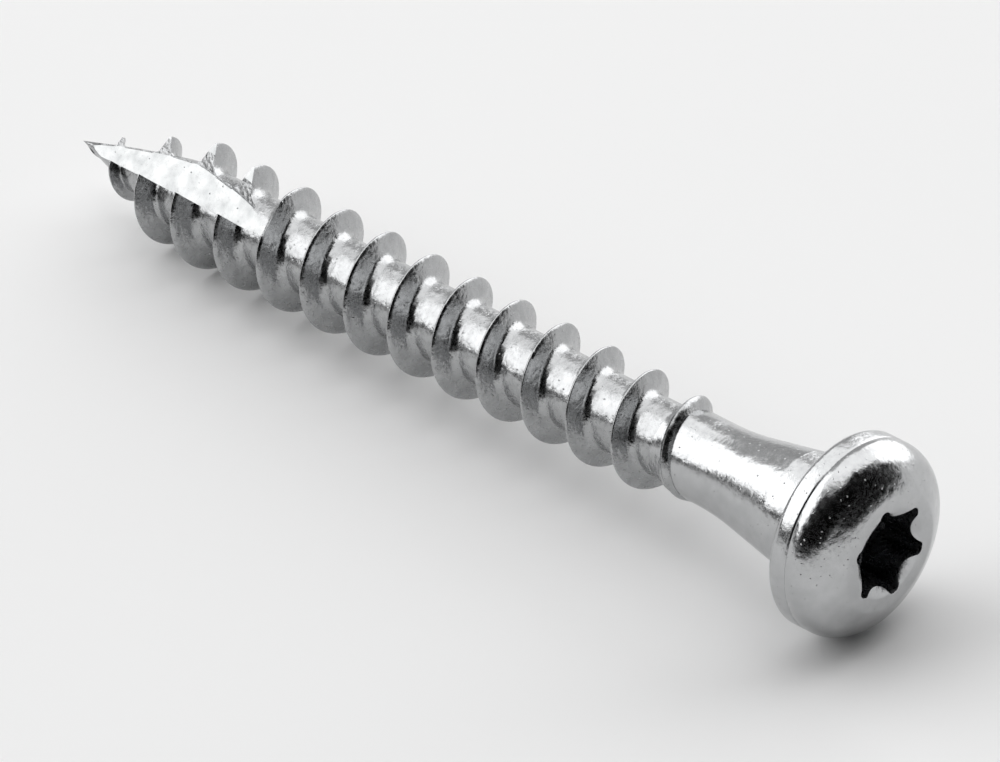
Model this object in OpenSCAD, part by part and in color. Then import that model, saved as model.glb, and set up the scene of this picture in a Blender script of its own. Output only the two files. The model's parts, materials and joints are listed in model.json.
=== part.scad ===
// Connector screw for fixing a steel bracket to wood, cold-headed and thread-rolled in one piece.
// It is drawn point down along Z, and then laid on its side as it comes to rest: on the edge of
// its head and on one crest of the thread near the point.

/* [Head] */
// Diameter of the pan head
head_d = 8.0; // [7:0.1:11]
// Height of the upright rim above the bearing face
rim_h = 1.1; // [0.6:0.05:1.5]
// Radius of the round shoulder between rim and crown
shoulder_r = 1.2; // [0.8:0.1:2]
// Rise of the dome above the shoulder, up to where it would close over the land
crown_rise = 0.85; // [0.4:0.05:1.2]
// Diameter of the flat land around the recess
land_d = 4.9; // [4.3:0.05:5.4]
// Rounding of the edge of the bearing face
bearing_edge_r = 0.3; // [0.1:0.05:0.5]

/* [Drive recess] */
// Width of the six-lobe recess across its lobes
recess_a = 3.95; // [3.3:0.05:5]
// Width of the recess across its flutes
recess_b = 2.85; // [2.4:0.05:3.1]
// Radius at the end of each lobe
lobe_r = 0.29; // [0.2:0.01:0.35]
// Depth of the straight walls, measured down from the land
recess_depth = 1.9; // [1:0.1:2.4]
// Depth of the punched cone below the walls
recess_cone_h = 0.4; // [0.2:0.05:0.6]
// Diameter of the countersunk mouth, which bevels the tops of the flutes
mouth_d = 3.45; // [3:0.05:3.9]
// Angle of the countersunk mouth
mouth_angle = 120; // [90:5:150]
// Direction of the first lobe
recess_turn = 54; // [0:1:59]

/* [Collar and neck] */
// Length of the screw from the bearing face to the point
screw_len = 40; // [35:1:70]
// Diameter of the collar that fills the hole of the bracket
collar_d = 4.6; // [4.4:0.05:5.5]
// Length of the collar
collar_len = 1.9; // [1.5:0.1:4]
// Radius of the root fillet between collar and head
root_r = 0.3; // [0.1:0.05:0.5]
// Diameter of the plain neck above the thread, that of the wire
neck_d = 3.4; // [3.2:0.05:4]
// Length of the flare from neck to collar
flare_len = 4.3; // [3:0.1:8]
// Length of the hollow bend between the neck and the straight part of the flare
bend_len = 2.1; // [1:0.1:3]
// Length of the straight neck between the thread and the flare
neck_len = 0.1; // [0.1:0.1:3]

/* [Thread] */
// Diameter over the crests behind the point, where it is largest
thread_d = 4.9; // [4.6:0.05:5.6]
// Diameter over the crests where the thread ends at the neck
thread_top_d = 4.4; // [4.2:0.05:5.6]
// Diameter of the core between the threads
core_d = 2.9; // [2.6:0.05:3.2]
// Rise of the thread in one turn
pitch = 2.326; // [1.8:0.001:3]
// Angle between the two flanks of the thread
flank_angle = 40; // [30:1:60]
// Width of the flat on the crest
crest_w = 0.09; // [0.05:0.01:0.2]
// Reach of the hollow at the foot of each flank
foot_w = 0.28; // [0.1:0.01:0.35]
// Number of turns over which the thread dies out at the neck
runout_turns = 1.3; // [0.8:0.1:2.5]
// Direction in which the thread starts at the point
thread_turn = 87; // [0:1:359]

/* [Point] */
// Length of the tapered point of the core
point_len = 6.3; // [4:0.1:8]
// Length over which the crests grow to their full diameter
crest_taper_len = 5.8; // [4:0.1:8]
// Length of the slash cut, from the point to where it leaves the core
slash_len = 11; // [6:0.1:14]
// Height of the slash cut above the axis at the very point
slash_rise = 0.13; // [0.05:0.01:0.3]
// Distance by which the slash cut reaches past the axis
slash_past = 0.25; // [0.05:0.01:0.5]
// Slope of the ramp on which the slash cut runs out through the threads
slash_ramp = 50; // [30:5:75]

/* [Rest] */
// Turn of the screw about its own axis as it lies
lie_turn = 133; // [90:1:180]

/* [Hidden] */

$fn = 96;
clear = 1;
turn_steps = 36;
arc_steps = 6;
lobes = 6;
ogive = 1.25;
runout_power = 1.25;

head_r = head_d / 2;
shoulder_x = head_r - shoulder_r;
crown_r = pow(shoulder_x, 2) / (2 * crown_rise) + shoulder_r + crown_rise / 2;
crown_y = rim_h + shoulder_r + crown_rise - crown_r;
tangent_x = shoulder_x * crown_r / (crown_r - shoulder_r);
land_r = land_d / 2;
head_h = crown_y + sqrt(pow(crown_r, 2) - pow(land_r, 2));
mouth_r = mouth_d / 2;
mouth_h = mouth_r / tan(mouth_angle / 2);

collar_r = collar_d / 2;
neck_r = neck_d / 2;
flare_angle = atan((collar_r - neck_r) / (flare_len - bend_len / 2));
bend_r = bend_len / 2 / tan(flare_angle / 2);
collar_z = screw_len - collar_len;
flare_z = collar_z - flare_len;
thread_end = flare_z - neck_len;

thread_r = thread_d / 2;
thread_top_r = thread_top_d / 2;
core_r = core_d / 2;
full_rise = thread_r - core_r;
crest_start_r = 0.12;
thread_start = 0.9;
buried = 0.12;

// Where the lowest crests lie, and how far the screw tips until the first of them meets the floor
rest_crests = [for (k = [1 : floor(screw_len / 2 / pitch)]) pitch * (k - (lie_turn + thread_turn) / 360)];
rest_tilt = min([for (z = rest_crests) if (z > thread_start) tilt_on(z, crest_at(z))]);
rest_h = (head_r - bearing_edge_r) * cos(rest_tilt) + bearing_edge_r
    - (screw_len + bearing_edge_r) * sin(rest_tilt);
rest_x = ((screw_len + head_h) * cos(rest_tilt) + land_r * sin(rest_tilt)) / 2;

// Tilt of a floor that touches the head's edge and a crest of radius r at height z
function tilt_on(z, r) = let (
        dz = screw_len + bearing_edge_r - z,
        dr = head_r - bearing_edge_r - r
    ) atan2(dr, dz) + asin(bearing_edge_r / norm([dz, dr]));

// Radius of the core, which ends in a slightly swollen point
function core_at(z) = core_r * (1 - pow(max(1 - z / point_len, 0), ogive));

// Radius over the crest: it grows from the point, shrinks towards the neck and dies out under its skin
function crest_at(z) = let (
        grown = crest_start_r + (thread_r - crest_start_r) * z / crest_taper_len,
        taper = (z - crest_taper_len) / (thread_end - crest_taper_len),
        full = min(grown, thread_r + (thread_top_r - thread_r) * taper),
        fade = max(1 - (thread_end - z) / (runout_turns * pitch), 0)
    ) full - (full - neck_r + buried) * pow(fade, runout_power);

// Section of the thread at crest height z: distance along the axis and radius of each corner
function thread_section(z) = let (
        rise = max(crest_at(z) - core_at(z), buried / 2),
        crest = crest_w / 2,
        flank = crest + rise * tan(flank_angle / 2),
        foot = flank + foot_w * rise / full_rise + crest_w,
        bend = rise * foot_w / 2
    ) [
        [-foot, core_at(z - foot)],
        [-flank, core_at(z - flank) + bend],
        [-crest, core_at(z) + rise],
        [crest, core_at(z) + rise],
        [flank, core_at(z + flank) + bend],
        [foot, core_at(z + foot)]
    ];

// The threaded shank as one helical skin, closed by a fan at the point and one inside the neck
module threaded_shank() {
    rows = ceil(turn_steps * (thread_end - thread_start) / pitch);
    cols = len(thread_section(thread_start));
    skin = [
        for (k = [0 : rows])
            let (z = thread_start + pitch * k / turn_steps, a = thread_turn + 360 * z / pitch)
                for (c = thread_section(z)) [c[1] * cos(a), c[1] * sin(a), z + c[0]]
    ];
    tip = len(skin);
    top = tip + 1;
    last = cols - 1;
    strip = [
        for (k = [0 : rows - 1])
            for (j = [0 : last - 1])
                let (p = k * cols + j, q = p + cols)
                    each [[p, p + 1, q + 1], [p, q + 1, q]]
    ];
    seam = [
        for (k = [0 : rows - turn_steps - 1])
            let (p = k * cols + last, q = (k + turn_steps) * cols)
                each [[p, q, q + cols], [p, q + cols, p + cols]]
    ];
    tip_fan = [for (k = [0 : turn_steps - 1]) [tip, k * cols, (k + 1) * cols]];
    tip_edge = [for (j = [0 : last - 1]) [tip, j + 1, j]];
    tip_seam = [[tip, turn_steps * cols, last]];
    top_fan = [
        for (k = [rows - turn_steps : rows - 1])
            [k * cols + last, top, (k + 1) * cols + last]
    ];
    top_edge = [for (j = [0 : last - 1]) [rows * cols + j, rows * cols + j + 1, top]];
    top_seam = [[(rows - turn_steps) * cols + last, rows * cols, top]];
    polyhedron(
        points = concat(skin, [[0, 0, 0], [0, 0, thread_end + neck_len]]),
        faces = concat(strip, seam, tip_fan, tip_edge, tip_seam, top_fan, top_edge, top_seam)
    );
}

// Half outline of the neck, from inside the core up to the collar, which reaches into the head
module neck_outline() {
    start_z = thread_end - pitch;
    shoulder_z = thread_end - pitch / 2;
    polygon([
        [0, start_z],
        [core_r - buried, start_z],
        [neck_r, shoulder_z],
        [neck_r, flare_z],
        [0, flare_z]
    ]);
    difference() {
        polygon([
            [0, flare_z],
            [neck_r, flare_z],
            [neck_r + bend_r * (1 - cos(flare_angle)), flare_z + bend_r * sin(flare_angle)],
            [collar_r, collar_z],
            [0, collar_z]
        ]);
        translate([neck_r + bend_r, flare_z])
            circle(bend_r, $fn = 360);
    }
    translate([0, collar_z])
        square([collar_r, collar_len + bearing_edge_r]);
    translate([collar_r, screw_len - root_r])
        difference() {
            square([root_r, root_r + bearing_edge_r]);
            translate([root_r, 0])
                circle(root_r);
        }
}

// Half outline of the head above its bearing face: rim, shoulder, dome and flat land
module head_outline() {
    square([head_r - bearing_edge_r, rim_h]);
    translate([0, bearing_edge_r])
        square([head_r, rim_h - bearing_edge_r]);
    translate([head_r - bearing_edge_r, bearing_edge_r])
        circle(bearing_edge_r);
    intersection() {
        translate([0, crown_y])
            circle(crown_r, $fn = 360);
        square([tangent_x, head_h]);
    }
    intersection() {
        translate([shoulder_x, rim_h])
            circle(shoulder_r);
        translate([tangent_x, rim_h])
            square([head_r - tangent_x, shoulder_r]);
    }
}

// Outline of the recess: round lobes joined by round flutes that meet them without a corner
module six_lobe_outline() {
    step = 360 / lobes;
    lobe_c = recess_a / 2 - lobe_r;
    flute_r = (pow(lobe_c, 2) + pow(recess_b / 2, 2) - lobe_c * recess_b * cos(step / 2) - pow(lobe_r, 2))
        / (2 * (lobe_r - recess_b / 2 + lobe_c * cos(step / 2)));
    flute_c = recess_b / 2 + flute_r;
    half = atan2(flute_c * sin(step / 2), flute_c * cos(step / 2) - lobe_c);
    sweep = half - step / 2;
    polygon([
        for (i = [0 : lobes - 1])
            each concat(
                [
                    for (k = [0 : arc_steps])
                        let (a = i * step + half * (2 * k / arc_steps - 1))
                            lobe_c * ray(i * step) + lobe_r * ray(a)
                ],
                [
                    for (k = [1 : arc_steps - 1])
                        let (a = (i + 0.5) * step + 180 + sweep * (1 - 2 * k / arc_steps))
                            flute_c * ray((i + 0.5) * step) + flute_r * ray(a)
                ]
            )
    ]);
}

function ray(a) = [cos(a), sin(a)];

// Everything the punch takes out of the head, with the bearing face at height 0
module drive_recess() {
    wall_z = head_h - recess_depth;
    intersection() {
        translate([0, 0, wall_z - recess_cone_h])
            linear_extrude(recess_depth + recess_cone_h + clear)
                rotate(recess_turn)
                    six_lobe_outline();
        rotate_extrude()
            polygon([
                [0, wall_z - recess_cone_h],
                [recess_a / 2 + clear, wall_z + recess_cone_h * 2 * clear / recess_a],
                [recess_a / 2 + clear, head_h + clear],
                [0, head_h + clear]
            ]);
    }
    translate([0, 0, head_h - mouth_h / 2])
        cylinder(h = mouth_h, r1 = mouth_r / 2, r2 = mouth_r * 3 / 2);
}

// The wedge that the slash cut takes out of the point: a long flat, a ramp and an upright wall
module slash_cut() {
    slope = (core_r - slash_rise) / slash_len;
    reach = thread_r + clear;
    translate([reach - slash_past, 0, 0])
        rotate([0, -90, 0])
            linear_extrude(reach)
                polygon([
                    [-clear, slash_rise - clear * slope],
                    [slash_len, core_r],
                    [slash_len + (reach - core_r) / tan(slash_ramp), reach],
                    [-clear, reach]
                ]);
}

// The screw lying on the floor with its head towards +X
module connector_screw() {
    color("silver")
        translate([-rest_x, 0, rest_h])
            rotate([0, 90 - rest_tilt, 0])
                rotate([0, 0, lie_turn])
                    difference() {
                        union() {
                            threaded_shank();
                            rotate_extrude()
                                neck_outline();
                            translate([0, 0, screw_len])
                                rotate_extrude()
                                    head_outline();
                        }
                        translate([0, 0, screw_len])
                            drive_recess();
                        slash_cut();
                    }
}

connector_screw();
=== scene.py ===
import json
import math

import bmesh
import bpy
from mathutils import Matrix, Vector


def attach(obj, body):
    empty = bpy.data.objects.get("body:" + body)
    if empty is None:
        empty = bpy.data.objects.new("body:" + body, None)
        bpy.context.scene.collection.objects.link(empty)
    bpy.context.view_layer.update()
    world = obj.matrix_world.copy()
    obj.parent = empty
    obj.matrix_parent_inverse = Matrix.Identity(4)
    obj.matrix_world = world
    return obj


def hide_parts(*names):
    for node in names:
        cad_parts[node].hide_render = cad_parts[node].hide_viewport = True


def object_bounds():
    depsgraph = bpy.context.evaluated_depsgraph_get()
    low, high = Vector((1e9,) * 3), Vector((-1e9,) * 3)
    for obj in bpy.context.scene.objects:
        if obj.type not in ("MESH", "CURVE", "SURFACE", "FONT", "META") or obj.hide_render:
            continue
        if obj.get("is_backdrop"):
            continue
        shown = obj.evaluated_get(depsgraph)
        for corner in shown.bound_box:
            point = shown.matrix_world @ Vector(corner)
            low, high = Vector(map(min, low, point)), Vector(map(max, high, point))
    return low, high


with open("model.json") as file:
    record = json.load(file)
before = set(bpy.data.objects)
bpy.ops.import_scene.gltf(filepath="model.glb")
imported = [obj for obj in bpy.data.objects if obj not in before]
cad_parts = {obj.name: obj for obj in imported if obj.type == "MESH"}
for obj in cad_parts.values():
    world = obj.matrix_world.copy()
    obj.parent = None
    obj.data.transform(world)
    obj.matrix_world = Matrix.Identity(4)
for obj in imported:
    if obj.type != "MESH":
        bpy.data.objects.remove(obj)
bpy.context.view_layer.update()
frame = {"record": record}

# Sizes of the screw in millimetres and degrees, with the powers and shares that bend its curves. The meshes
# are made point down along Z, and then laid in the frame. The head and the thread are 0.01 mm smaller than
# in the solid, so that they stay in its box.
MM = 0.001

HEAD_D = 7.99
RIM_H = 1.1
SHOULDER_R = 1.2
CROWN_RISE = 0.85
LAND_D = 4.9
BEARING_EDGE_R = 0.3

RECESS_LOBES_D = 3.95
RECESS_FLUTES_D = 2.85
LOBES = 6
LOBE_R = 0.29
RECESS_DEPTH = 1.9
RECESS_CONE_H = 0.4
RECESS_EDGE_R = 0.03
RECESS_TURN = 54.0
MOUTH_D = 3.64
MOUTH_ANGLE = 126.0

SCREW_LEN = 40.0
COLLAR_D = 4.6
COLLAR_LEN = 1.9
ROOT_R = 0.3
NECK_D = 3.4
FLARE_LEN = 4.3
BEND_LEN = 2.1
NECK_LEN = 0.1

THREAD_D = 4.89
THREAD_TOP_D = 4.4
CORE_D = 2.9
PITCH = 2.326
FLANK_ANGLE = 40.0
CREST_W = 0.09
FOOT_W = 0.28
FOOT_RISE = 0.14
CREST_ROUNDING = 0.025
FOOT_POWER = 2.2
RUNOUT_TURNS = 1.3
RUNOUT_POWER = 2.2
RUNOUT_CREST_W = 0.2
RUNOUT_ROUNDING = 0.35
THREAD_TURN = 87.0
THREAD_FROM = 0.3
THREAD_BEGUN = 1.2
CREST_START_R = 0.12
BURIED = 0.12

POINT_LEN = 6.3
TIP_CUT = 0.05
OGIVE = 1.25
CREST_TAPER_LEN = 5.8
SLASH_LEN = 11.0
SLASH_RISE = 0.13
SLASH_PAST = 0.25
SLASH_RAMP = 50.0
CUT_CLEAR = 1.0

LIE_TURN = 133.0

# Fine traces of the making, too small for the solid: the line where the heading dies met on the rim,
# the torn thread ends beside the slash, and the rings that the extruding die left on the collar
DIE_LINE_H = 0.88
DIE_LINE_W = 0.09
DIE_LINE_STEP = 0.03
DIE_LINE_LIPS = (0.004, 0.006)
SHEAR_FROM = 0.9
SHEAR_TO = 10.0
SHEAR_GAP = 0.04
SHEAR_DROP = 0.12
SHEAR_TILT = 10.0
COLLAR_RINGS = 9
COLLAR_RING_RISE = 0.006
COLLAR_RING_MARGIN = 0.05
COLLAR_TOP_MARGIN = 0.02

# Softened edges, with the degrees left out where the head's arcs meet the rim, each other and the land
NECK_EDGE = 0.03
COLLAR_EDGE = 0.06
LAND_EDGE = [(0.02, 0.002), (0.06, 0.0)]
FLOOR_EDGE = 0.03
ARC_GAPS = (1.5, 1.0, 0.4)
SHARP_FROM = 32.0

# Mesh density, and the distances under which points merge. A thread's section has a crest, a flank, a foot
# and a piece of the core on each side of its middle.
TURN_STEPS = 90
CREST_STEPS = 2
FLANK_STEPS = 6
FOOT_STEPS = 5
CORE_STEPS = 5
LOBE_STEPS = 20
FLUTE_STEPS = 20
BEND_STEPS = 16
SHEAR_STEPS = 24
WALL_SHARES = (0.3, 0.65)
FLOOR_SHARES = (1.0, 0.94, 0.8, 0.6, 0.4, 0.2)
ARC_STEP = 5.0
MERGE_WOUND = 0.002
MERGE_DOUBLES = 0.0005
MERGE_SLIVERS = 0.0001

head_r = HEAD_D / 2
shoulder_x = head_r - SHOULDER_R
crown_r = shoulder_x**2 / (2 * CROWN_RISE) + SHOULDER_R + CROWN_RISE / 2
crown_z = SCREW_LEN + RIM_H + SHOULDER_R + CROWN_RISE - crown_r
land_r = LAND_D / 2
land_z = crown_z + math.sqrt(crown_r**2 - land_r**2)
collar_z = SCREW_LEN - COLLAR_LEN
flare_z = collar_z - FLARE_LEN
thread_end = flare_z - NECK_LEN
core_r = CORE_D / 2
neck_r = NECK_D / 2
collar_r = COLLAR_D / 2


def add(tree, kind, inputs=None, output=0, **settings):
    """Adds a node with its settings, fills or links its inputs and returns one of its outputs.

    The inputs of a Map Range node count as value, from low, from high, to low and to high.
    """
    node = tree.nodes.new(kind)
    for name, value in settings.items():
        setattr(node, name, value)
    for place, value in (inputs or {}).items():
        if isinstance(value, bpy.types.NodeSocket):
            tree.links.new(value, node.inputs[place])
        else:
            node.inputs[place].default_value = value
    return node.outputs[output] if node.outputs else None


def linear(hex_colour):
    """An sRGB hex colour as linear RGBA."""
    channels = [int(hex_colour[k:k + 2], 16) / 255 for k in (1, 3, 5)]
    return [c / 12.92 if c <= 0.04045 else ((c + 0.055) / 1.055) ** 2.4 for c in channels] + [1.0]


# Placement in the frame

recess_mount = next(m for m in frame["record"]["mounts"] if m["name"] == "drive_recess")
screw_axis = Vector(recess_mount["axis"]).normalized()
point_at = Vector(recess_mount["pos_m"]) - screw_axis * land_z * MM
lay_down = (
    Matrix.Translation(point_at)
    @ Matrix.Rotation(math.pi / 2 - math.asin(screw_axis.z), 4, "Y")
    @ Matrix.Rotation(math.radians(LIE_TURN), 4, "Z")
)


# Materials. A speck's radius is a share of the specks' spacing, and some of their cells stay bare.

MICROMETRE = 1e-6
SPECK_R = 0.18
BARE_CELLS = 0.35
GRAIN_LOW = 0.3
GRAIN_HIGH = 0.7


def zinc_plated_steel(name, light, dark, roughness, wave, grain, speck):
    """Bright zinc electroplated on formed steel: a mirror blurred by crystals, uneven from the forming.

    Wave, grain and speck each give a spacing in millimetres and a height in micrometres. The crystals of
    the zinc are under 0.01 mm, too fine to show, so the grain is drawn coarser.
    """
    material = bpy.data.materials.new(name)
    material.use_nodes = True
    tree = material.node_tree
    tree.nodes.clear()
    place = add(tree, "ShaderNodeTexCoord", output="Object")
    waves = add(tree, "ShaderNodeTexNoise", {"Vector": place, "Scale": 1 / (wave[0] * MM), "Detail": 1.0})
    grains = add(tree, "ShaderNodeTexNoise", {"Vector": place, "Scale": 1 / (grain[0] * MM), "Detail": 2.0})
    cells = add(tree, "ShaderNodeTexVoronoi", {"Vector": place, "Scale": 1 / (speck[0] * MM)})
    spot = add(tree, "ShaderNodeMapRange", {0: cells, 1: 0.0, 2: SPECK_R, 3: 1.0, 4: 0.0},
               interpolation_type="SMOOTHSTEP")
    lot = add(tree, "ShaderNodeSeparateColor", {0: cells.node.outputs["Color"]})
    chosen = add(tree, "ShaderNodeMath", {0: lot, 1: BARE_CELLS}, operation="GREATER_THAN")
    specks = add(tree, "ShaderNodeMath", {0: spot, 1: chosen}, operation="MULTIPLY")
    wave_h = add(tree, "ShaderNodeMath", {0: waves, 1: wave[1]}, operation="MULTIPLY")
    grain_h = add(tree, "ShaderNodeMath", {0: grains, 1: grain[1], 2: wave_h}, operation="MULTIPLY_ADD")
    height = add(tree, "ShaderNodeMath", {0: specks, 1: speck[1], 2: grain_h}, operation="MULTIPLY_ADD")
    normal = add(tree, "ShaderNodeBump", {"Strength": 1.0, "Distance": MICROMETRE, "Height": height})
    tone = add(tree, "ShaderNodeMix", {0: waves, 6: linear(dark), 7: linear(light)}, 2, data_type="RGBA")
    rough = add(tree, "ShaderNodeMapRange",
                {0: grains, 1: GRAIN_LOW, 2: GRAIN_HIGH, 3: roughness[0], 4: roughness[1]})
    surface = add(tree, "ShaderNodeBsdfPrincipled",
                  {"Base Color": tone, "Metallic": 1.0, "Roughness": rough, "Normal": normal})
    add(tree, "ShaderNodeOutputMaterial", {"Surface": surface})
    return material


# Head, collar and neck: struck between polished dies, so the zinc is an even mirror with a few fine specks
headed_steel = zinc_plated_steel("zinc_plated_steel_headed", "#C2C3C4", "#AEAFB0", (0.15, 0.27),
                                 (0.5, 18), (0.15, 8), (0.25, 16))
# Recess: pressed in by a punch, so it is duller, and its colour is painted darker as shade in the deep hollow
punched_steel_painted_shade = zinc_plated_steel("zinc_plated_steel_punched_painted_shade", "#8A8B8C", "#66676A", (0.2, 0.4),
                                  (0.4, 14), (0.12, 8), (0.3, 10))
# Core and thread: squeezed up between grooved rolling dies, so the mirror is wavy and mottled
rolled_steel = zinc_plated_steel("zinc_plated_steel_rolled", "#BABBBC", "#9C9D9E", (0.17, 0.32),
                                 (0.5, 26), (0.15, 13), (0.3, 12))
# Slash flat: pinched off by the pointing dies, so it is the flattest face and the brightest
cut_steel = zinc_plated_steel("zinc_plated_steel_cut", "#C2C3C3", "#8E9091", (0.16, 0.3),
                              (0.6, 30), (0.18, 14), (0.4, 12))
# Thread ends beside the slash: torn by the dies, so they are rough and catch light and dark
sheared_steel = zinc_plated_steel("zinc_plated_steel_sheared", "#B4B5B6", "#8E8F90", (0.2, 0.36),
                                  (0.3, 40), (0.12, 10), (0.25, 12))


# Threaded shank

def shank_tree():
    """Geometry Nodes tree of the threaded shank: one skin wound along the helix of the crest."""
    tree = bpy.data.node_groups.new("threaded_shank", "GeometryNodeTree")
    tree.interface.new_socket("Shank", in_out="OUTPUT", socket_type="NodeSocketGeometry")
    sizes = {
        "Turn steps": TURN_STEPS,
        "Thread diameter": THREAD_D,
        "Thread diameter at the neck": THREAD_TOP_D,
        "Core diameter": CORE_D,
        "Neck diameter": NECK_D,
        "Pitch": PITCH,
        "Flank slope": math.tan(math.radians(FLANK_ANGLE / 2)),
        "Crest width": CREST_W,
        "Thread end": thread_end,
        "Run-out length": RUNOUT_TURNS * PITCH,
        "Start turn": math.radians(THREAD_TURN),
        "Point length": POINT_LEN,
        "Crest growth length": CREST_TAPER_LEN,
    }
    for name in sizes:
        kind = "NodeSocketInt" if isinstance(sizes[name], int) else "NodeSocketFloat"
        tree.interface.new_socket(name, in_out="INPUT", socket_type=kind)
    tree.interface.new_socket("Finish", in_out="INPUT", socket_type="NodeSocketMaterial")
    size = tree.nodes.new("NodeGroupInput").outputs

    def core_at(height):
        taper = add(tree, "ShaderNodeMapRange",
                    {0: height, 1: 0.0, 2: size["Point length"], 3: 1.0, 4: 0.0})
        swell = add(tree, "ShaderNodeMath", {0: taper, 1: OGIVE}, operation="POWER")
        full = add(tree, "ShaderNodeMath", {0: size["Core diameter"], 1: 0.5}, operation="MULTIPLY")
        missing = add(tree, "ShaderNodeMath", {0: swell, 1: full}, operation="MULTIPLY")
        return add(tree, "ShaderNodeMath", {0: full, 1: missing}, operation="SUBTRACT")

    # The sheet that is wound: its X runs up the helix, its Y across one thread from core to core
    half_steps = CREST_STEPS + FLANK_STEPS + FOOT_STEPS + CORE_STEPS
    half_pitch = add(tree, "ShaderNodeMath", {0: size["Pitch"], 1: 0.5}, operation="MULTIPLY")
    top = add(tree, "ShaderNodeMath", {0: size["Thread end"], 1: NECK_LEN}, operation="ADD")
    reach = add(tree, "ShaderNodeMath", {0: top, 1: size["Pitch"]}, operation="ADD")
    turns = add(tree, "ShaderNodeMath", {0: reach, 1: size["Pitch"]}, operation="DIVIDE")
    exact_rows = add(tree, "ShaderNodeMath", {0: turns, 1: size["Turn steps"]}, operation="MULTIPLY")
    rows = add(tree, "ShaderNodeMath", {0: exact_rows}, operation="CEIL")
    row_step = add(tree, "ShaderNodeMath", {0: size["Pitch"], 1: size["Turn steps"]}, operation="DIVIDE")
    length = add(tree, "ShaderNodeMath", {0: rows, 1: row_step}, operation="MULTIPLY")
    row_count = add(tree, "ShaderNodeMath", {0: rows, 1: 1.0}, operation="ADD")
    sheet = add(tree, "GeometryNodeMeshGrid",
                {"Size X": length, "Size Y": 2.0, "Vertices X": row_count,
                 "Vertices Y": 2 * half_steps + 1})
    along = add(tree, "ShaderNodeSeparateXYZ", {0: add(tree, "GeometryNodeInputPosition")})
    across = along.node.outputs[1]
    middle = add(tree, "ShaderNodeMath", {0: length, 1: 0.5, 2: along}, operation="MULTIPLY_ADD")
    height = add(tree, "ShaderNodeMath", {0: middle, 1: half_pitch}, operation="SUBTRACT")

    # Height of the thread over the core: it grows from the point and dies out under the neck
    growth = size["Crest growth length"]
    crest_r = add(tree, "ShaderNodeMath", {0: size["Thread diameter"], 1: 0.5}, operation="MULTIPLY")
    top_d = size["Thread diameter at the neck"]
    top_r = add(tree, "ShaderNodeMath", {0: top_d, 1: 0.5}, operation="MULTIPLY")
    end = size["Thread end"]
    young = add(tree, "ShaderNodeMapRange", {0: height, 1: 0.0, 2: growth, 3: CREST_START_R, 4: crest_r})
    old = add(tree, "ShaderNodeMapRange", {0: height, 1: growth, 2: end, 3: crest_r, 4: top_r})
    grown = add(tree, "ShaderNodeMath", {0: young, 1: old}, operation="MINIMUM")
    fade_from = add(tree, "ShaderNodeMath", {0: end, 1: size["Run-out length"]}, operation="SUBTRACT")
    faded = add(tree, "ShaderNodeMapRange", {0: height, 1: fade_from, 2: end})
    fade = add(tree, "ShaderNodeMath", {0: faded, 1: RUNOUT_POWER}, operation="POWER")
    neck_d = size["Neck diameter"]
    sunk = add(tree, "ShaderNodeMath", {0: neck_d, 1: 0.5, 2: -BURIED}, operation="MULTIPLY_ADD")
    crest = add(tree, "ShaderNodeMix", {0: fade, 2: grown, 3: sunk})
    bare_rise = add(tree, "ShaderNodeMath", {0: crest, 1: core_at(height)}, operation="SUBTRACT")
    least_rise = add(tree, "ShaderNodeMath", {0: bare_rise, 1: BURIED / 2}, operation="MAXIMUM")
    begun = add(tree, "ShaderNodeMapRange", {0: height, 1: THREAD_FROM, 2: THREAD_BEGUN},
                interpolation_type="SMOOTHSTEP")
    rise = add(tree, "ShaderNodeMath", {0: least_rise, 1: begun}, operation="MULTIPLY")

    # Section of the thread: round crest, straight flank, hollow foot, core
    side = add(tree, "ShaderNodeMath", {0: across}, operation="SIGN")
    aside = add(tree, "ShaderNodeMath", {0: across}, operation="ABSOLUTE")
    flank_at = CREST_STEPS / half_steps
    foot_at = (CREST_STEPS + FLANK_STEPS) / half_steps
    core_from = 1 - CORE_STEPS / half_steps
    on_crest = add(tree, "ShaderNodeMapRange", {0: aside, 1: 0.0, 2: flank_at})
    on_flank = add(tree, "ShaderNodeMapRange", {0: aside, 1: flank_at, 2: foot_at})
    on_foot = add(tree, "ShaderNodeMapRange", {0: aside, 1: foot_at, 2: core_from})
    on_core = add(tree, "ShaderNodeMapRange", {0: aside, 1: core_from, 2: 1.0})
    flank_w = add(tree, "ShaderNodeMath", {0: rise, 1: size["Flank slope"]}, operation="MULTIPLY")
    crest_w = size["Crest width"]
    foot_reach = FOOT_W / (THREAD_D - CORE_D) * 2
    foot_w = add(tree, "ShaderNodeMath", {0: rise, 1: foot_reach, 2: crest_w}, operation="MULTIPLY_ADD")
    sharp_w = add(tree, "ShaderNodeMath", {0: crest_w, 1: 0.5}, operation="MULTIPLY")
    half_w = add(tree, "ShaderNodeMath", {0: faded, 1: RUNOUT_CREST_W, 2: sharp_w},
                 operation="MULTIPLY_ADD")
    to_flank = add(tree, "ShaderNodeMath", {0: on_crest, 1: half_w}, operation="MULTIPLY")
    to_foot = add(tree, "ShaderNodeMath", {0: on_flank, 1: flank_w, 2: to_flank}, operation="MULTIPLY_ADD")
    to_core = add(tree, "ShaderNodeMath", {0: on_foot, 1: foot_w, 2: to_foot}, operation="MULTIPLY_ADD")
    offset = add(tree, "ShaderNodeMix", {0: on_core, 2: to_core, 3: half_pitch})
    level = add(tree, "ShaderNodeMath", {0: side, 1: offset, 2: height}, operation="MULTIPLY_ADD")
    round_crest = add(tree, "ShaderNodeMath", {0: on_crest, 1: 2.0}, operation="POWER")
    foot_left = add(tree, "ShaderNodeMath", {0: 1.0, 1: on_foot}, operation="SUBTRACT")
    hollow = add(tree, "ShaderNodeMath", {0: foot_left, 1: FOOT_POWER}, operation="POWER")
    flank_rise = 1 - FOOT_RISE
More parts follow.
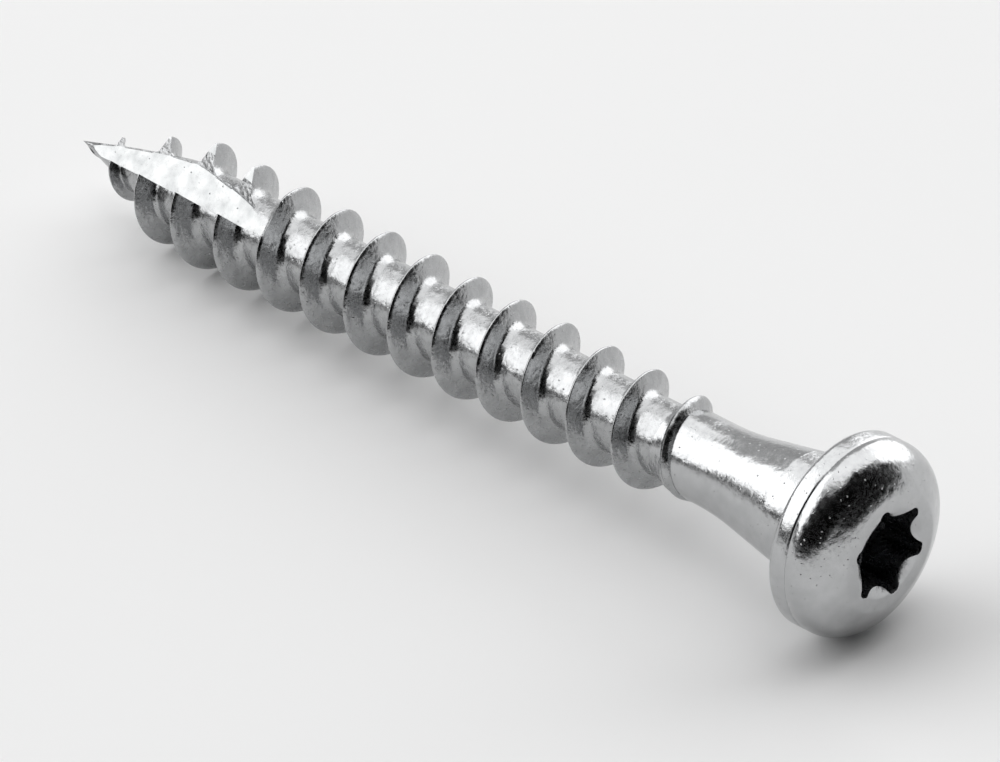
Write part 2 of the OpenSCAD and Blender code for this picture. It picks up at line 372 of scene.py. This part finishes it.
    fall = add(tree, "ShaderNodeMath", {0: on_flank, 1: -flank_rise, 2: flank_rise}, operation="MULTIPLY_ADD")
    foot_share = add(tree, "ShaderNodeMath", {0: hollow, 1: FOOT_RISE, 2: fall}, operation="MULTIPLY_ADD")
    rounding = add(tree, "ShaderNodeMapRange", {0: faded, 3: CREST_ROUNDING, 4: RUNOUT_ROUNDING})
    eased = add(tree, "ShaderNodeMath", {0: on_flank, 1: round_crest}, operation="SUBTRACT")
    share = add(tree, "ShaderNodeMath", {0: eased, 1: rounding, 2: foot_share}, operation="MULTIPLY_ADD")
    proud = add(tree, "ShaderNodeMath", {0: rise, 1: share}, operation="MULTIPLY")
    skin_r = add(tree, "ShaderNodeMath", {0: core_at(level), 1: proud}, operation="ADD")

    # Both ends close on the axis: at the point, and inside the neck
    past_tip = add(tree, "ShaderNodeMath", {0: level, 1: TIP_CUT}, operation="GREATER_THAN")
    below_top = add(tree, "ShaderNodeMath", {0: level, 1: top}, operation="LESS_THAN")
    shown = add(tree, "ShaderNodeMath", {0: past_tip, 1: below_top}, operation="MULTIPLY")
    closed_r = add(tree, "ShaderNodeMath", {0: skin_r, 1: shown}, operation="MULTIPLY")
    tipped_z = add(tree, "ShaderNodeMath", {0: level, 1: past_tip}, operation="MULTIPLY")
    closed_z = add(tree, "ShaderNodeMath", {0: tipped_z, 1: top}, operation="MINIMUM")
    turn_rate = add(tree, "ShaderNodeMath", {0: math.tau, 1: size["Pitch"]}, operation="DIVIDE")
    start = size["Start turn"]
    angle = add(tree, "ShaderNodeMath", {0: height, 1: turn_rate, 2: start}, operation="MULTIPLY_ADD")
    cosine = add(tree, "ShaderNodeMath", {0: angle}, operation="COSINE")
    sine = add(tree, "ShaderNodeMath", {0: angle}, operation="SINE")
    skin_x = add(tree, "ShaderNodeMath", {0: closed_r, 1: cosine}, operation="MULTIPLY")
    skin_y = add(tree, "ShaderNodeMath", {0: closed_r, 1: sine}, operation="MULTIPLY")
    wound_at = add(tree, "ShaderNodeCombineXYZ", {0: skin_x, 1: skin_y, 2: closed_z})
    wound = add(tree, "GeometryNodeSetPosition", {"Geometry": sheet, "Position": wound_at})
    skin = add(tree, "GeometryNodeMergeByDistance", {"Geometry": wound, "Distance": MERGE_WOUND})
    whole = add(tree, "GeometryNodeRealizeInstances", {"Geometry": skin})
    finished = add(tree, "GeometryNodeSetMaterial", {"Geometry": whole, "Material": size["Finish"]})
    add(tree, "NodeGroupOutput", {0: finished})
    return tree, sizes


def link(name, mesh):
    """A new object at the origin with this mesh."""
    piece = bpy.data.objects.new(name, mesh)
    bpy.context.scene.collection.objects.link(piece)
    return piece


def baked(piece):
    """The piece with its modifiers made into a plain mesh and removed."""
    graph = bpy.context.evaluated_depsgraph_get()
    mesh = bpy.data.meshes.new_from_object(piece.evaluated_get(graph))
    piece.modifiers.clear()
    piece.data = mesh
    return piece


def tidied(mesh):
    """Merges doubles, removes slivers and turns every face outwards."""
    work = bmesh.new()
    work.from_mesh(mesh)
    bmesh.ops.remove_doubles(work, verts=work.verts, dist=MERGE_DOUBLES)
    bmesh.ops.dissolve_degenerate(work, edges=work.edges, dist=MERGE_SLIVERS)
    bmesh.ops.recalc_face_normals(work, faces=work.faces)
    work.to_mesh(mesh)
    work.free()
    return mesh


def threaded_shank():
    """The wound skin with its sizes set, as a plain mesh."""
    tree, sizes = shank_tree()
    piece = link("threaded_shank", bpy.data.meshes.new("threaded_shank"))
    winding = piece.modifiers.new("winding", "NODES")
    winding.node_group = tree
    for socket in tree.interface.items_tree:
        if socket.name in sizes:
            winding[socket.identifier] = sizes[socket.name]
        elif socket.name == "Finish":
            winding[socket.identifier] = rolled_steel
    baked(piece)
    piece.data.materials.pop(index=0)
    tidied(piece.data)
    return piece


# Head, collar and neck

def arc(centre_r, centre_z, radius, start, end):
    """Points (radius, height) along an arc, with its angles in degrees from the +r direction."""
    steps = max(3, math.ceil(abs(end - start) / ARC_STEP))
    angles = [math.radians(start + (end - start) * k / steps) for k in range(steps + 1)]
    return [(centre_r + radius * math.cos(a), centre_z + radius * math.sin(a)) for a in angles]


def recess_outline():
    """(angle, radius) around the six-lobe recess: round lobes joined by round flutes."""
    step = math.tau / LOBES
    lobe_c = RECESS_LOBES_D / 2 - LOBE_R
    inner = RECESS_FLUTES_D / 2
    flute_r = (lobe_c**2 + inner**2 - 2 * lobe_c * inner * math.cos(step / 2) - LOBE_R**2) / (
        2 * (LOBE_R - inner + lobe_c * math.cos(step / 2)))
    flute_c = inner + flute_r
    half = math.atan2(flute_c * math.sin(step / 2), flute_c * math.cos(step / 2) - lobe_c)
    sweep = half - step / 2
    points = []
    for i in range(LOBES):
        lobe_at = i * step
        flute_at = (i + 0.5) * step
        for k in range(LOBE_STEPS + 1):
            a = lobe_at + half * (2 * k / LOBE_STEPS - 1)
            points.append((lobe_c * math.cos(lobe_at) + LOBE_R * math.cos(a),
                           lobe_c * math.sin(lobe_at) + LOBE_R * math.sin(a)))
        for k in range(1, FLUTE_STEPS):
            a = flute_at + math.pi + sweep * (1 - 2 * k / FLUTE_STEPS)
            points.append((flute_c * math.cos(flute_at) + flute_r * math.cos(a),
                           flute_c * math.sin(flute_at) + flute_r * math.sin(a)))
    turn = math.radians(RECESS_TURN)
    return [(math.atan2(y, x) + turn, math.hypot(x, y)) for x, y in points]


def head_and_neck():
    """One closed skin of rings around the axis, from inside the core up to the floor of the recess."""
    outline = recess_outline()
    neck_from = thread_end - PITCH
    flare_angle = math.atan((collar_r - neck_r) / (FLARE_LEN - BEND_LEN / 2))
    bend_r = BEND_LEN / 2 / math.tan(flare_angle / 2)
    neck_edge_z = thread_end - PITCH / 2
    profile = [(core_r - BURIED, neck_from), (neck_r - NECK_EDGE, neck_edge_z - NECK_EDGE)]
    profile += [(neck_r, neck_edge_z + NECK_EDGE), (neck_r, thread_end)]
    for k in range(BEND_STEPS + 1):
        a = flare_angle * k / BEND_STEPS
        profile.append((neck_r + bend_r * (1 - math.cos(a)), flare_z + bend_r * math.sin(a)))
    profile.append((collar_r - COLLAR_EDGE * math.tan(flare_angle), collar_z - COLLAR_EDGE))
    profile.append((collar_r, collar_z + COLLAR_EDGE / 2))
    ring_w = (COLLAR_LEN - ROOT_R - 2 * COLLAR_RING_MARGIN) / COLLAR_RINGS
    for k in range(COLLAR_RINGS):
        low = collar_z + COLLAR_RING_MARGIN + k * ring_w
        profile += [(collar_r, low), (collar_r - COLLAR_RING_RISE, low + ring_w / 2)]
    profile.append((collar_r, SCREW_LEN - ROOT_R - COLLAR_TOP_MARGIN))
    profile += arc(collar_r + ROOT_R, SCREW_LEN - ROOT_R, ROOT_R, 180, 90)
    profile.append(((collar_r + head_r) / 2, SCREW_LEN))
    profile += arc(head_r - BEARING_EDGE_R, SCREW_LEN + BEARING_EDGE_R, BEARING_EDGE_R, -90, 0)
    line_z = SCREW_LEN + DIE_LINE_H
    profile.append((head_r, line_z - DIE_LINE_W))
    profile.append((head_r - DIE_LINE_LIPS[0], line_z - DIE_LINE_W / 2))
    profile.append((head_r - DIE_LINE_STEP, line_z))
    profile.append((head_r - DIE_LINE_LIPS[1], line_z + DIE_LINE_W / 2))
    rim_gap, crown_gap, land_gap = ARC_GAPS
    crown_deg = math.degrees(math.acos(shoulder_x / (crown_r - SHOULDER_R)))
    profile += arc(shoulder_x, SCREW_LEN + RIM_H, SHOULDER_R, rim_gap, crown_deg)
    land_deg = math.degrees(math.acos(land_r / crown_r))
    profile += arc(0, crown_z, crown_r, crown_deg + crown_gap, land_deg - land_gap)
    rings = [([r] * len(outline), z) for r, z in profile]
    rings += [([land_r - inset] * len(outline), land_z - drop) for inset, drop in LAND_EDGE]
    mouth_r = MOUTH_D / 2
    mouth_slope = 1 / math.tan(math.radians(MOUTH_ANGLE / 2))
    edge_z = [land_z - max(mouth_r - r, 0) * mouth_slope for _, r in outline]
    rings.append(([max(r, mouth_r) + RECESS_EDGE_R * 2 for _, r in outline], land_z))
    rings.append(([max(r, mouth_r) + RECESS_EDGE_R for _, r in outline], land_z))
    land_rows = len(rings)
    rings.append(([r + RECESS_EDGE_R * 0.3 for _, r in outline], [z - RECESS_EDGE_R * 0.3 for z in edge_z]))
    rings.append(([r for _, r in outline], [z - RECESS_EDGE_R for z in edge_z]))
    floor_z = land_z - RECESS_DEPTH - RECESS_CONE_H
    cone = RECESS_CONE_H / (RECESS_LOBES_D / 2)
    for share in WALL_SHARES:
        rings.append(([r for _, r in outline], land_z - RECESS_DEPTH * share))
    for share in FLOOR_SHARES:
        base_z = floor_z + (FLOOR_EDGE if share == 1.0 else 0.0)
        radii = [r * share for _, r in outline]
        rings.append((radii, [base_z + cone * r for r in radii]))
    work = bmesh.new()
    rows = []
    for radii, z in rings:
        heights = z if isinstance(z, list) else [z] * len(outline)
        rows.append([work.verts.new((r * math.cos(a), r * math.sin(a), h))
                     for (a, _), r, h in zip(outline, radii, heights)])
    for i, (low, high) in enumerate(zip(rows, rows[1:])):
        for k in range(len(outline)):
            n = (k + 1) % len(outline)
            work.faces.new((low[k], low[n], high[n], high[k])).material_index = int(i > land_rows)
    bottom = work.verts.new((0, 0, neck_from))
    centre = work.verts.new((0, 0, floor_z))
    for k in range(len(outline)):
        n = (k + 1) % len(outline)
        work.faces.new((bottom, rows[0][n], rows[0][k]))
        work.faces.new((rows[-1][k], rows[-1][n], centre)).material_index = 1
    mesh = bpy.data.meshes.new("head_and_neck")
    work.to_mesh(mesh)
    work.free()
    mesh.materials.append(headed_steel)
    # The recess takes the second finish, whose darker colour is painted shade
    mesh.materials.append(punched_steel_painted_shade)
    return link("head_and_neck", tidied(mesh))


def slash_level(z):
    """Height of the slash flat over the axis."""
    return SLASH_RISE + (core_r - SLASH_RISE) * z / SLASH_LEN


def pinched_away(name, stations, tilt, finish):
    """What a die takes out of the point: at each height it lies outwards of an edge and above a level."""
    outside = THREAD_D / 2 + CUT_CLEAR
    work = bmesh.new()
    rows = []
    for z, edge, level in stations:
        outer_level = level + math.tan(math.radians(tilt)) * (outside - edge)
        corners = [(edge, level), (outside, outer_level), (outside, 2 * outside), (edge, 2 * outside)]
        rows.append([work.verts.new((x, y, z)) for x, y in corners])
    work.faces.new(rows[0])
    work.faces.new(rows[-1][::-1])
    for low, high in zip(rows, rows[1:]):
        for k in range(4):
            n = (k + 1) % 4
            work.faces.new((low[k], high[k], high[n], low[n]))
    bmesh.ops.recalc_face_normals(work, faces=work.faces)
    mesh = bpy.data.meshes.new(name)
    work.to_mesh(mesh)
    work.free()
    mesh.materials.append(finish)
    return link(name, mesh)


def slash():
    """The long flat from the tip, and the ramp at its end."""
    top = THREAD_D / 2 + CUT_CLEAR
    ramp_end = SLASH_LEN + (top - core_r) / math.tan(math.radians(SLASH_RAMP))
    levels = [(-CUT_CLEAR, slash_level(-CUT_CLEAR)), (SLASH_LEN, core_r), (ramp_end, top)]
    stations = [(z, -SLASH_PAST, level) for z, level in levels]
    return pinched_away("slash", stations, 0, cut_steel)


def sheared_ends():
    """The hollow beside the flat, where the ends of the cut threads were torn down to the core."""
    stations = []
    for k in range(SHEAR_STEPS + 1):
        z = SHEAR_FROM + (SHEAR_TO - SHEAR_FROM) * k / SHEAR_STEPS
        radius = core_r * (1 - max(0, 1 - z / POINT_LEN) ** OGIVE)
        core_edge = math.sqrt(max(0, radius**2 - slash_level(z)**2))
        stations.append((z, core_edge + SHEAR_GAP, slash_level(z) - SHEAR_DROP))
    return pinched_away("sheared_ends", stations, SHEAR_TILT, sheared_steel)


def combined(piece, tool, operation):
    """The piece joined with the tool's solid, or cut by it."""
    join = piece.modifiers.new(operation.lower(), "BOOLEAN")
    join.object = tool
    join.operation = operation
    join.solver = "EXACT"
    join.material_mode = "TRANSFER"
    baked(piece)
    bpy.data.objects.remove(tool)
    return piece


screw = threaded_shank()
combined(screw, slash(), "DIFFERENCE")
combined(screw, sheared_ends(), "DIFFERENCE")
combined(screw, head_and_neck(), "UNION")
screw.name = "screw"
tidied(screw.data)
screw.data.transform(lay_down @ Matrix.Scale(MM, 4))
screw.data.set_sharp_from_angle(angle=math.radians(SHARP_FROM))
for face in screw.data.polygons:
    face.use_smooth = screw.data.materials[face.material_index] not in (cut_steel, sheared_steel)
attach(screw, "root")
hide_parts("connector_screw")


# Stage. Its lengths are metres, its angles degrees, with azimuths counted from +X towards +Y.

FLOOR_PROFILE = [(0.5, 0), (2.5, 0), (3.2, 0.06), (3.8, 0.25), (4.2, 0.6)]
FLOOR_SIDES = 64
FLAG_R = 1.5
FLAG_COLUMNS = 32
FLAG_ROWS = 14
SOFTBOX_R = 2.0
SKY_STRENGTH = 0.5


def pale_floor():
    """A wide round sheet of white paper whose edge curves up."""
    sheet = bpy.data.materials.new("white_paper")
    sheet.use_nodes = True
    tree = sheet.node_tree
    tree.nodes.clear()
    paper = add(tree, "ShaderNodeBsdfDiffuse", {"Color": linear("#F4F4F4")})
    add(tree, "ShaderNodeOutputMaterial", {"Surface": paper})
    work = bmesh.new()
    rows = []
    turns = [math.tau * k / FLOOR_SIDES for k in range(FLOOR_SIDES)]
    for r, z in FLOOR_PROFILE:
        rows.append([work.verts.new((r * math.cos(a), r * math.sin(a), z)) for a in turns])
    work.faces.new(rows[0])
    for low, high in zip(rows, rows[1:]):
        for k in range(FLOOR_SIDES):
            n = (k + 1) % FLOOR_SIDES
            work.faces.new((low[k], high[k], high[n], low[n]))
    mesh = bpy.data.meshes.new("floor")
    work.to_mesh(mesh)
    work.free()
    mesh.materials.append(sheet)
    mesh.shade_smooth()
    floor = link("floor", mesh)
    floor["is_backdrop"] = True


def softbox(name, azimuth, elevation, width, height, brightness):
    """A rectangular diffuser that faces the screw, with a power that follows its area."""
    lamp = bpy.data.lights.new(name, "AREA")
    lamp.shape = "RECTANGLE"
    lamp.size = width
    lamp.size_y = height
    lamp.energy = brightness * math.pi * width * height
    box = bpy.data.objects.new(name, lamp)
    bpy.context.scene.collection.objects.link(box)
    a, e = math.radians(azimuth), math.radians(elevation)
    way = Vector((math.cos(a) * math.cos(e), math.sin(a) * math.cos(e), math.sin(e)))
    box.location = way * SOFTBOX_R
    box.rotation_mode = "QUATERNION"
    box.rotation_quaternion = way.to_track_quat("Z", "Y")
    box.visible_camera = False


def black_flag(name, start, end, low, high):
    """A curved black cloth between two azimuths and two elevations, which the metal mirrors."""
    cloth = bpy.data.materials.new("black_felt")
    cloth.use_nodes = True
    tree = cloth.node_tree
    tree.nodes.clear()
    felt = add(tree, "ShaderNodeBsdfDiffuse", {"Color": linear("#080808")})
    add(tree, "ShaderNodeOutputMaterial", {"Surface": felt})
    turns = [math.radians(start + (end - start) * k / FLAG_COLUMNS) for k in range(FLAG_COLUMNS + 1)]
    work = bmesh.new()
    grid = []
    for i in range(FLAG_ROWS + 1):
        e = math.radians(low + (high - low) * i / FLAG_ROWS)
        r = FLAG_R * math.cos(e)
        z = FLAG_R * math.sin(e)
        grid.append([work.verts.new((r * math.cos(a), r * math.sin(a), z)) for a in turns])
    for lower, upper in zip(grid, grid[1:]):
        for k in range(FLAG_COLUMNS):
            work.faces.new((lower[k], upper[k], upper[k + 1], lower[k + 1]))
    mesh = bpy.data.meshes.new(name)
    work.to_mesh(mesh)
    work.free()
    mesh.materials.append(cloth)
    mesh.shade_smooth()
    flag = link(name, mesh)
    flag.visible_camera = False
    flag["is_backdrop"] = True


pale_floor()
black_flag("camera_flag", -112, 54, 0, 71)
black_flag("left_flag", -185, -112, 4, 13)
softbox("right_softbox", 92, 18, 2.4, 1.6, 1.9)
softbox("left_softbox", -150, 36, 2.2, 1.6, 1.9)
softbox("top_softbox", 110, 68, 2.6, 2.2, 1.15)

world = bpy.data.worlds.new("studio")
world.use_nodes = True
sky = world.node_tree
sky.nodes.clear()
back = add(sky, "ShaderNodeBackground", {0: (1.0, 1.0, 1.0, 1.0), 1: SKY_STRENGTH})
add(sky, "ShaderNodeOutputWorld", {"Surface": back})
bpy.context.scene.world = world


# Camera. Its azimuth counts from -Y towards +X, and the screw fills a share of the picture's width.

CAMERA_AZIMUTH = 43.0
CAMERA_ELEVATION = 37.3
CAMERA_DISTANCE = 0.4
FRAME_FILL = 0.86

azimuth, elevation = math.radians(CAMERA_AZIMUTH), math.radians(CAMERA_ELEVATION)
backwards = Vector((math.sin(azimuth) * math.cos(elevation), -math.cos(azimuth) * math.cos(elevation),
                    math.sin(elevation)))
rightwards = Vector((0, 0, 1)).cross(backwards).normalized()
upwards = backwards.cross(rightwards)
spans = []
for direction in (rightwards, upwards):
    places = [v.co.dot(direction) for v in screw.data.vertices]
    spans.append((min(places), max(places)))
aim = sum(((low + high) / 2 * d for (low, high), d in zip(spans, (rightwards, upwards))), Vector())
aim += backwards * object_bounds()[0].lerp(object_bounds()[1], 0.5).dot(backwards)
frame_width = (spans[0][1] - spans[0][0]) / FRAME_FILL
camera = bpy.data.cameras.new("camera")
camera.sensor_width = 36
camera.lens = camera.sensor_width * CAMERA_DISTANCE / frame_width
camera.clip_start = 0.01
camera.clip_end = 20
viewer = bpy.data.objects.new("camera", camera)
bpy.context.scene.collection.objects.link(viewer)
viewer.location = aim + backwards * CAMERA_DISTANCE
viewer.rotation_mode = "QUATERNION"
viewer.rotation_quaternion = (-backwards).to_track_quat("-Z", "Y")
bpy.context.scene.camera = viewer
bpy.context.scene.view_settings.view_transform = "Standard"
